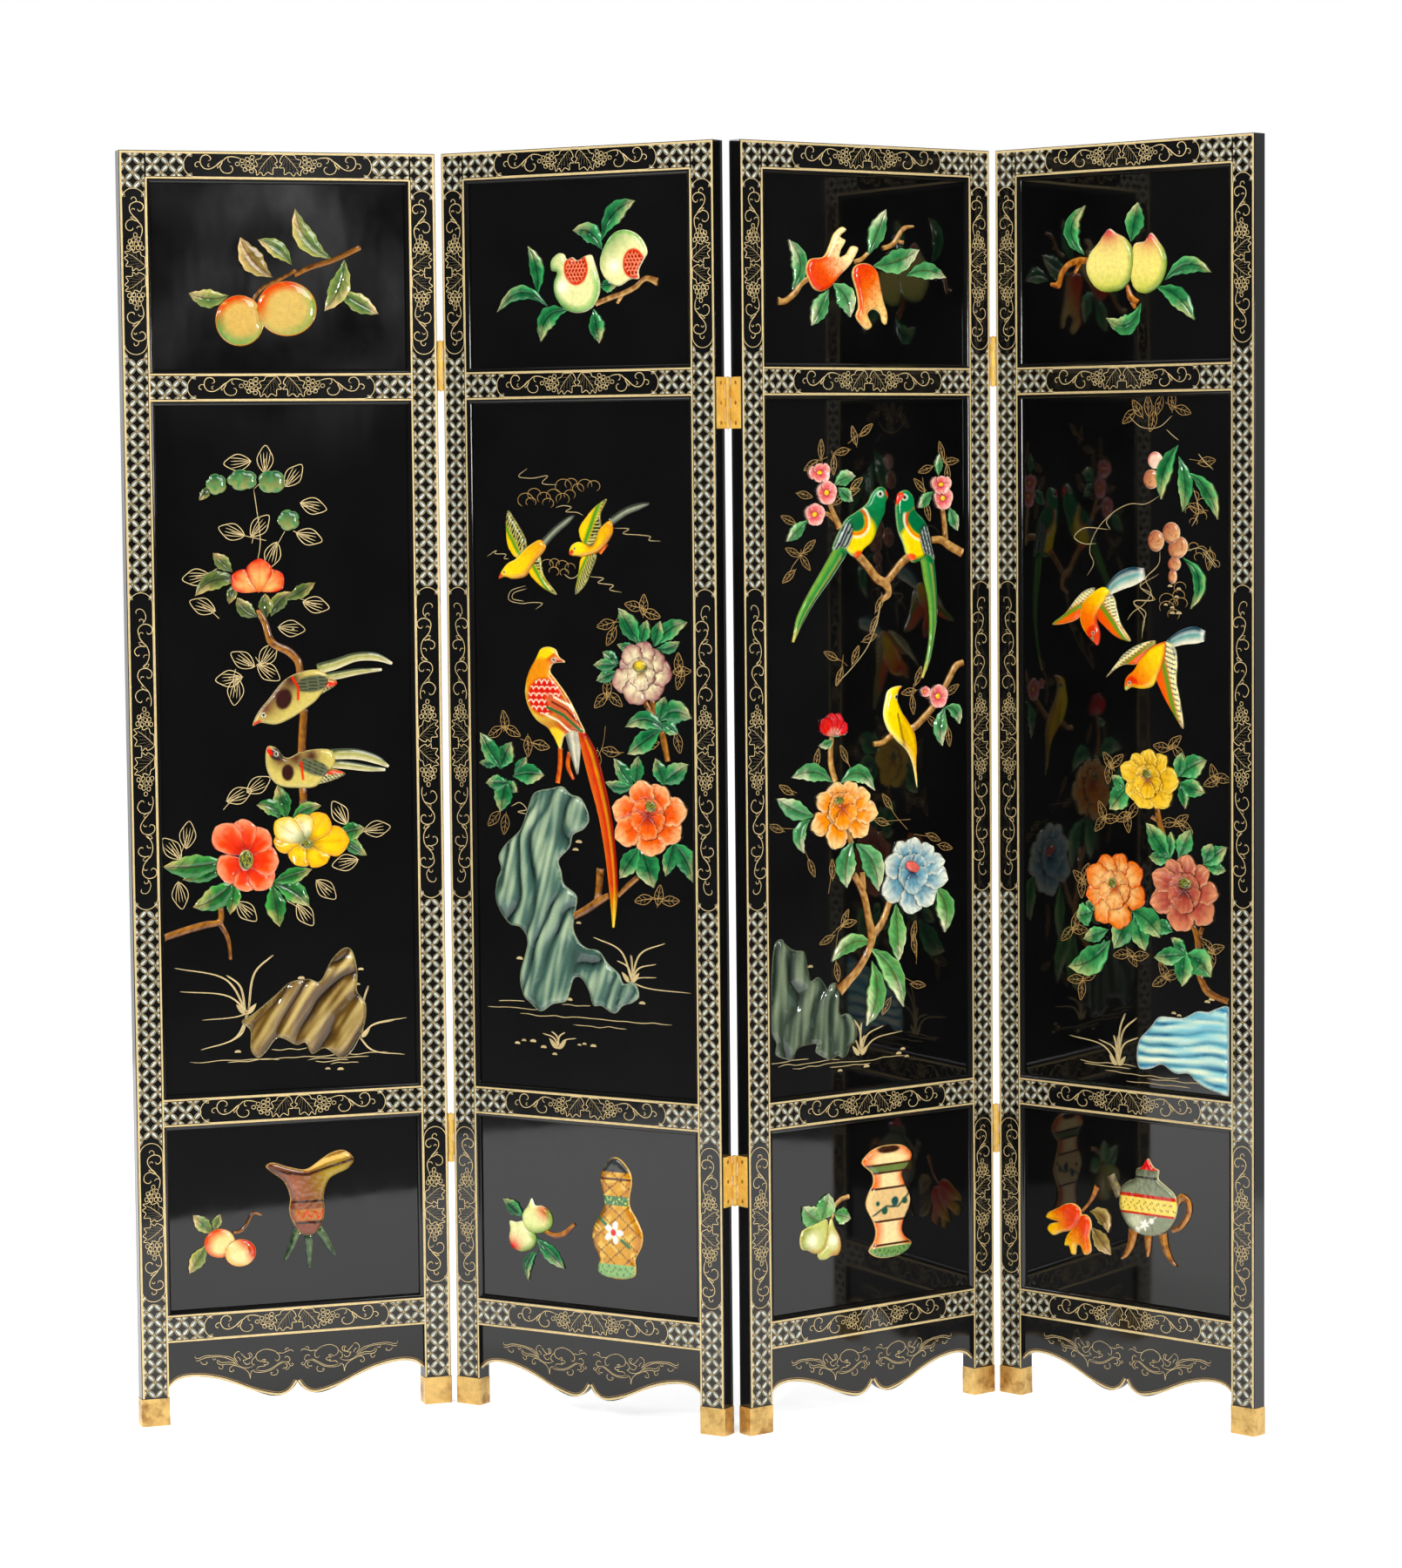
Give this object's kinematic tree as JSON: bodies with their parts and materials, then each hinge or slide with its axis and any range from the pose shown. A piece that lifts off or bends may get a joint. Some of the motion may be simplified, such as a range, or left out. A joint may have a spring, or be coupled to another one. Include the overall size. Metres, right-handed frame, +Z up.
{
  "type": "folding screen",
  "caption": "Free-standing folding screen of hinged black lacquer leaves with gilt frames, painted relief flowers, birds and fruit, scalloped aprons and brass foot covers.",
  "frame": {"origin": "on the floor, under the middle of the screen's box in the stance shown", "axes": "+Z up; +X to the viewer's right along the screen; the decorated faces look towards -Y"},
  "size_m": [1.6146, 0.3372, 1.829],
  "materials": {
    "lacquer": "black gloss lacquer with gilt lattice, scrolls and lines",
    "carved_stone": "carved and painted relief in greens, yellows, orange, pink and blue",
    "brass": "aged sheet brass"
  },
  "bodies": {
    "leaf_1": {"leaf_1_left_stile": "lacquer", "leaf_1_right_stile": "lacquer", "leaf_1_top_rail": "lacquer", "leaf_1_middle_rails": "lacquer", "leaf_1_bottom_rail": "lacquer", "leaf_1_top_board": "lacquer", "leaf_1_middle_board": "lacquer", "leaf_1_bottom_board": "lacquer", "leaf_1_apron": "lacquer", "leaf_1_sabots": "brass", "leaf_1_garden_relief": "carved_stone", "leaf_1_fruit_reliefs": "carved_stone", "leaf_1_hinge_plates_to_leaf_2": "brass", "leaf_1_hinge_screws": "brass"},
    "leaf_2": {"leaf_2_left_stile": "lacquer", "leaf_2_right_stile": "lacquer", "leaf_2_top_rail": "lacquer", "leaf_2_middle_rails": "lacquer", "leaf_2_bottom_rail": "lacquer", "leaf_2_top_board": "lacquer", "leaf_2_middle_board": "lacquer", "leaf_2_bottom_board": "lacquer", "leaf_2_apron": "lacquer", "leaf_2_sabots": "brass", "leaf_2_garden_relief": "carved_stone", "leaf_2_fruit_reliefs": "carved_stone", "leaf_2_hinge_plates_to_leaf_3": "brass", "leaf_2_hinge_plates_to_leaf_1": "brass", "leaf_2_hinge_screws": "brass", "leaf_2_hinge_pins": "brass"},
    "leaf_3": {"leaf_3_left_stile": "lacquer", "leaf_3_right_stile": "lacquer", "leaf_3_top_rail": "lacquer", "leaf_3_middle_rails": "lacquer", "leaf_3_bottom_rail": "lacquer", "leaf_3_top_board": "lacquer", "leaf_3_middle_board": "lacquer", "leaf_3_bottom_board": "lacquer", "leaf_3_apron": "lacquer", "leaf_3_sabots": "brass", "leaf_3_garden_relief": "carved_stone", "leaf_3_fruit_reliefs": "carved_stone", "leaf_3_hinge_plates_to_leaf_4": "brass", "leaf_3_hinge_plates_to_leaf_2": "brass", "leaf_3_hinge_screws": "brass", "leaf_3_hinge_pins": "brass"},
    "leaf_4": {"leaf_4_left_stile": "lacquer", "leaf_4_right_stile": "lacquer", "leaf_4_top_rail": "lacquer", "leaf_4_middle_rails": "lacquer", "leaf_4_bottom_rail": "lacquer", "leaf_4_top_board": "lacquer", "leaf_4_middle_board": "lacquer", "leaf_4_bottom_board": "lacquer", "leaf_4_apron": "lacquer", "leaf_4_sabots": "brass", "leaf_4_garden_relief": "carved_stone", "leaf_4_fruit_reliefs": "carved_stone", "leaf_4_hinge_plates_to_leaf_3": "brass", "leaf_4_hinge_screws": "brass"}
  },
  "joints": [
    {"name": "fold_1_2", "type": "hinge", "parent": "leaf_1", "child": "leaf_2", "pos_m": [-0.35641, 0.10711, 0.9], "axis": [0, 0, 1], "range_deg": [-129.63, 50.36]},
    {"name": "fold_2_3", "type": "hinge", "parent": "leaf_2", "child": "leaf_3", "pos_m": [0.05861, -0.11538, 0.9], "axis": [0, 0, 1], "range_deg": [-69.43, 110.56]},
    {"name": "fold_3_4", "type": "hinge", "parent": "leaf_3", "child": "leaf_4", "pos_m": [0.4482, 0.14914, 0.9], "axis": [0, 0, 1], "range_deg": [-99.15, 80.84]}
  ]
}
